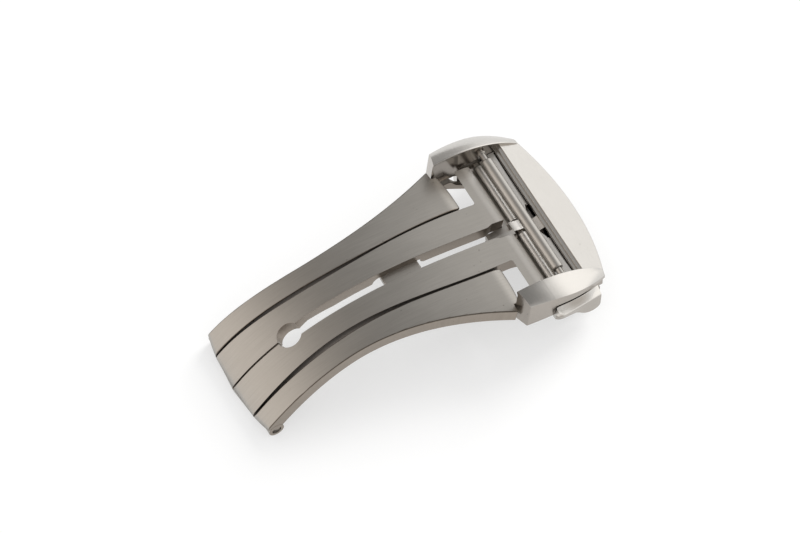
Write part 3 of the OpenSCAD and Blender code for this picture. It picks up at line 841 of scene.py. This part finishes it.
def makeCoil(name, node, body, turns):
    s = barLook
    low, high = boxOf(node)
    centre = (low + high) / 2
    wire, count = s["wire"], turns * s["turnSteps"]
    rings = []
    for i in range(count + 1):
        angle = 2 * math.pi * i / s["turnSteps"]
        y = low.y + wire + (high.y - low.y - 2 * wire) * i / count
        out = Vector((math.cos(angle), 0, math.sin(angle)))
        spot = Vector((centre.x, y, centre.z)) + out * (s["coil"] - wire)
        rings.append([spot + wire * (out * math.cos(a) + Vector((0, 1, 0)) * math.sin(a))
                      for a in span(0, 2 * math.pi * (1 - 1 / s["wireSides"]), s["wireSides"] - 1)])
    coil = loftRings(name, rings)
    return settle(coil, body, springSteel, "spring_steel", node, smooth=60)


def makePin(name, node, body):
    low, high = boxOf(node)
    centre = (low + high) / 2
    radius, chamfer, dome = (high.x - low.x) / 2, barLook["chamfer"], barLook["pinDome"]
    pin = turnedProfile(name, centre, [(low.y, radius - dome), (low.y + chamfer, radius),
                                       (high.y - chamfer, radius), (high.y, radius - dome)])
    return settle(pin, body, pinSteel, "pin_steel", node)


for bar, body in (("strap", "head"), ("tail", "outer")):
    makeTube(bar + "BarTube", bar + "_bar_tube", body)
    makeCoil(bar + "BarSpring", bar + "_bar_spring", body, barLook["turns"])
    for side in ("near", "far"):
        makeTip(bar + "Tip" + side.title(), f"{bar}_tip_{side}", f"{bar}_tip_{side[0]}")
for side in ("near", "far"):
    makeCoil("buttonSpring" + side.title(), "button_spring_" + side, "head", barLook["buttonTurns"])
makePin("endHingePin", "end_hinge_pin", "outer")
makePin("headHingePin", "head_hinge_pin", "inner")
print("bars, springs and pins made")


# push buttons

buttonShape = {
    "startX": -1.75, "length": 5.75, "inner": 10.6, "side": 11.147, "taper": -0.162, "out": 0.89,
    "top": 1.2, "topFall": -0.208, "ridge": 0.193, "ridgeFall": -0.195, "gap": 0.3, "rise": 0.14,
    "tail": 0.35, "lip": 0.13, "under": 0.14, "steps": 48,
    "lowEdge": ((-1.9, -0.35), (-1.33, -0.47), (0.54, -1.18), (0.98, -1.63), (1.4, -2.2), (1.8, -2.65),
                (2.4, -3.1), (3.0, -3.35), (3.5, -3.38), (3.8, -3.25), (4.0, -2.95)),
}


def alongLine(x, line):
    # height of a line of points at x
    for (x0, z0), (x1, z1) in zip(line, line[1:]):
        if x < x1:
            return z0 + (z1 - z0) * max(0, (x - x0) / (x1 - x0))
    return line[-1][1]


def buttonRing(t):
    # a straight facet under the ear, a thin lip, and a lower face that hangs as a lobe
    s = buttonShape
    x = s["startX"] + s["length"] * t
    rise = math.sqrt(1 - (1 - min(1, (t + 0.02) / s["rise"])) ** 2)
    line = s["side"] + s["taper"] * x
    side = max(line, earSide(x) - 0.06)
    ridge = max(line + s["out"] * rise, side + 0.1)
    top = min(s["top"] + s["topFall"] * x, wallFoot(x) - s["gap"])
    ridgeLow = top - (top - s["ridge"] - s["ridgeFall"] * x) * rise
    low = min(alongLine(x, s["lowEdge"]), ridgeLow - 0.4)
    lip, under = s["lip"], ridge - s["under"]
    points = [(s["inner"], low), (under - 0.15, low), (under - 0.04, low + 0.04), (under, low + 0.15),
              ((under + ridge) / 2, (low + ridgeLow) / 2), (ridge - 0.02, ridgeLow - 1.5 * lip),
              (ridge - 0.08 * lip, ridgeLow - 0.8 * lip), (ridge - 0.35 * lip, ridgeLow - 0.3 * lip),
              (ridge - lip, ridgeLow + 0.35 * lip)]
    points += [(ridge - lip + (side - ridge + lip) * k, ridgeLow + (top - ridgeLow) * k) for k in (0.3, 0.6)]
    points += [(side, top), (s["inner"], top - 0.7)]
    tail = s["tail"] * max(0, 1 - t / s["rise"])
    return [headPin + Vector((x - (tail if z < ridgeLow - lip else 0), y, z)) for y, z in points]


def makeButtons():
    far = loftRings("buttonFar", [buttonRing(t) for t in span(0, 1, buttonShape["steps"])])
    roundEdges(far, 0.06, 2, 60)
    near = mirrored(far, "buttonNear")
    settle(far, "pusher_f", headSteel, "head_steel", "button_far", smooth=22)
    settle(near, "pusher_n", headSteel, "head_steel", "button_near", smooth=22)


makeButtons()
print("buttons made")


# hidden works: copies of the plain solids with softened edges


def copyOf(node, name):
    source = frame["nodes"][node]
    onlyThis(source)
    bpy.ops.object.duplicate()
    copy = newPiece(name)
    for key in list(copy.keys()):
        del copy[key]
    copy.parent = None
    copy.data.transform(Matrix.Scale(metre, 4))
    inEdit(copy, lambda: bpy.ops.mesh.remove_doubles(threshold=0.0005),
           lambda: bpy.ops.mesh.dissolve_limited(angle_limit=math.radians(1)))
    return copy


def softCopy(node, name, body, material, slotName, width):
    copy = roundEdges(copyOf(node, name), width, 2, 40)
    return settle(copy, body, material, slotName, node)


housingLook = {
    "groove": (1.98, 2.2), "grooveLow": 0.95, "holes": ((-3.2, -1.9), (-0.2, 1.7)), "holeLow": 0.2,
    "rib": (1.25, 2.02), "ribTop": 1.5, "ribLow": 0.5, "ribEnd": 9.1, "ribThin": 1.78, "ribPoint": 1.6,
    "block": (-1.9, -0.2), "tongue": (-4.1, -0.95), "tongueHalf": 0.96, "tongueWall": 0.36,
    "tongueTip": -3.1, "tongueLow": -0.7, "tongueFloor": 0.15, "tongueTop": 1.25,
}


def makeHousing():
    # the guide ribs and dark gaps beside the strap bar, and the tongue's open pocket
    s = housingLook
    housing = copyOf("latch_housing", "latchHousing")

    def part(name, xs, ys, zs):
        return boxAt(name, *(headPin + Vector(corner) for corner in zip(xs, ys, zs)))

    for low, high in s["holes"]:
        cutBy(housing, part("hole", (s["rib"][0] - 0.1, s["groove"][1]), (low, high), (s["holeLow"], 3)))
    for low, high in ((-s["ribEnd"], s["block"][0]), (s["block"][1], s["ribEnd"])):
        cutBy(housing, part("groove", s["groove"], (low, high), (s["grooveLow"], 3)))
    cutBy(housing, part("pocket", s["tongue"], (-s["tongueWall"], 1), (s["tongueFloor"] - 0.05, 3)))
    pieces = [housing]
    for end, hole in ((-s["ribEnd"], s["holes"][0][0]), (s["ribEnd"], s["holes"][1][1])):
        tip = hole - math.copysign(s["ribPoint"], end)
        outline = [(s["rib"][0], end), (s["rib"][1], end), (s["ribThin"], hole), (s["rib"][0], tip)]
        pieces.append(flatPlate("rib", [(headPin.x + x, y) for x, y in outline],
                                headPin.z + s["ribTop"], headPin.z + s["ribLow"]))
    tip, back, top, half = s["tongueTip"], s["tongue"][1], s["tongueTop"], s["tongueHalf"]
    pieces.append(part("tongueBase", (tip - 0.5, back), (-half, half), (s["tongueLow"], s["tongueFloor"])))
    side = [(tip - 0.8, s["tongueLow"]), (tip - 0.5, top - 0.65), (tip, top), (back + 0.1, top - 0.1),
            (back + 0.1, s["tongueLow"])]
    pieces.append(sidePlate("tongueSide", [(headPin.x + x, headPin.z + z) for x, z in side],
                            -half, -s["tongueWall"]))
    housing = joined("latchHousing", *pieces)
    roundEdges(housing, 0.05, 2, 40)
    return settle(housing, "head", bladeSteel, "blade_steel", "latch_housing")


softCopy("catch_plate", "catchPlate", "outer", bladeSteel, "blade_steel", 0.05)
makeHousing()
softCopy("housing_screws", "housingScrews", "head", pinSteel, "pin_steel", 0.04)
softCopy("latch_hook_near", "latchHookNear", "pusher_n", bladeSteel, "blade_steel", 0.04)
softCopy("latch_hook_far", "latchHookFar", "pusher_f", bladeSteel, "blade_steel", 0.04)
print("latch made")


# floor, light and camera

studio = {
    "azimuth": -29.66, "elevation": 60, "distance": 0.8, "pixelsPerMetre": 9086, "imageWidth": 800,
    "imageHeight": 533, "originPixel": (403.8, 308.6), "sensor": 36,
    "floorSize": 3, "floorColour": (0.72, 0.72, 0.72), "floorSeen": (0.96, 0.96, 0.96), "floorLift": 0.55,
    "lampPlace": (0.55, 0.2, 0.4), "lampSize": 0.35, "lampPower": 3.4, "lampColour": (1, 0.99, 0.97),
}


def aimCamera():
    s = studio
    a, e = math.radians(s["azimuth"]), math.radians(s["elevation"])
    back = Vector((math.sin(a) * math.cos(e), -math.cos(a) * math.cos(e), math.sin(e)))
    right = Vector((math.cos(a), math.sin(a), 0))
    up = back.cross(right)
    target = right * (s["imageWidth"] / 2 - s["originPixel"][0]) / s["pixelsPerMetre"]
    target += up * (s["originPixel"][1] - s["imageHeight"] / 2) / s["pixelsPerMetre"]
    place = target + back * s["distance"]
    bpy.ops.object.camera_add(location=place)
    camera = bpy.context.object
    camera.matrix_world = Matrix((
        (right.x, up.x, back.x, place.x), (right.y, up.y, back.y, place.y),
        (right.z, up.z, back.z, place.z), (0, 0, 0, 1)))
    camera.data.sensor_width = s["sensor"]
    camera.data.lens = s["sensor"] * s["distance"] * s["pixelsPerMetre"] / s["imageWidth"]
    camera.data.clip_end = 10
    bpy.context.scene.camera = camera


def makeFloor():
    # the camera and reflections see it paler than the light does, so that its shadow stays soft
    bpy.ops.mesh.primitive_plane_add(size=studio["floorSize"], location=(0, 0, 0))
    floor = newPiece("floor")
    material = bpy.data.materials.new("paleFloor")
    material.use_nodes = True
    graph = Graph(material.node_tree)
    seen = graph.node("ShaderNodeLightPath", output="Is Camera Ray").math(
        "MAXIMUM", graph.node("ShaderNodeLightPath", output="Is Glossy Ray"))
    shader = graph.node("ShaderNodeBsdfPrincipled", {}, {
        "Base Color": graph.mix(seen, studio["floorColour"], studio["floorSeen"]),
        "Roughness": 0.9, "Specular IOR Level": 0.1})
    white = graph.node("ShaderNodeEmission", {}, {"Color": (1, 1, 1), "Strength": 1.0})
    surface = graph.node("ShaderNodeMixShader", {}, {0: seen * studio["floorLift"], 1: shader, 2: white})
    graph.node("ShaderNodeOutputMaterial", {}, {"Surface": surface})
    floor.data.materials.append(material)


# what polished metal sees from left to right, behind and before it, and the bright wall in front
air = {
    "behind": ((0.0, 0.8, "warm"), (0.1, 0.75, "warm"), (0.2, 0.6, "warm"), (0.29, 0.4, "warm"),
               (0.4, 0.25, "warm"), (0.57, 0.235, "plain"), (0.68, 0.28, "plain"), (0.75, 0.39, "plain"),
               (0.81, 0.68, "plain"), (0.87, 0.86, "plain"), (1.0, 0.84, "plain")),
    "before": ((0.0, 0.7, "warm"), (0.25, 0.4, "warm"), (0.45, 0.16, "plain"), (0.67, 0.16, "plain"),
               (0.74, 0.3, "plain"), (0.79, 0.64, "plain"), (0.85, 1.0, "plain"), (1.0, 0.95, "plain")),
    "front": ((0.0, 0.8, "plain"), (0.03, 0.68, "plain"), (0.07, 0.4, "plain"), (0.2, 0.05, "plain"),
              (1.0, 0.0, "plain")),
    "turn": (0.45, 0.68), "warm": (1, 0.93, 0.865), "plain": (1, 0.985, 0.965), "strength": 1.63,
    "light": 0.8,
}


def makeWorld():
    world = bpy.data.worlds.new("studioAir")
    bpy.context.scene.world = world
    world.use_nodes = True
    graph = Graph(world.node_tree)
    direction = graph.node("ShaderNodeTexCoord", output="Generated")
    across, depth = (graph.part(direction, axis) * 0.5 + 0.5 for axis in "XY")

    def ramp(name, along):
        stops = [(place, [level * c for c in air[tint]]) for place, level, tint in air[name]]
        return graph.ramp(stops, along)

    low, high = air["turn"]
    turn = graph.node("ShaderNodeMapRange", {"interpolation_type": "SMOOTHSTEP"},
                      {"Value": depth, "From Min": low, "From Max": high})
    around = graph.mix(turn, ramp("before", across), ramp("behind", across))
    seen = graph.mix(1.0, around, ramp("front", depth), "LIGHTEN")
    isCamera = graph.node("ShaderNodeLightPath", output="Is Camera Ray")
    isGlossy = graph.node("ShaderNodeLightPath", output="Is Glossy Ray")
    level = air["light"]
    soft = graph.node("ShaderNodeBackground", {}, {"Color": (level, level, level), "Strength": 1.0})
    metal = graph.node("ShaderNodeBackground", {}, {"Color": seen, "Strength": air["strength"]})
    white = graph.node("ShaderNodeBackground", {}, {"Color": (1, 1, 1), "Strength": 1.0})
    lit = graph.node("ShaderNodeMixShader", {}, {0: isGlossy, 1: soft, 2: metal})
    shown = graph.node("ShaderNodeMixShader", {}, {0: isCamera, 1: lit, 2: white})
    graph.node("ShaderNodeOutputWorld", {}, {"Surface": shown})


def addLamp():
    s = studio
    bpy.ops.object.light_add(type="AREA", location=s["lampPlace"])
    lamp = bpy.context.object
    lamp.name = "keyLamp"
    lamp.rotation_euler = Vector(s["lampPlace"]).to_track_quat("Z", "Y").to_euler()
    lamp.data.size = s["lampSize"]
    lamp.data.energy = s["lampPower"]
    lamp.data.color = s["lampColour"]
    lamp.visible_glossy = False  # polished steel reflects the studio's air instead


aimCamera()
makeFloor()
makeWorld()
addLamp()
bpy.context.scene.view_settings.view_transform = "Standard"
print("studio ready")
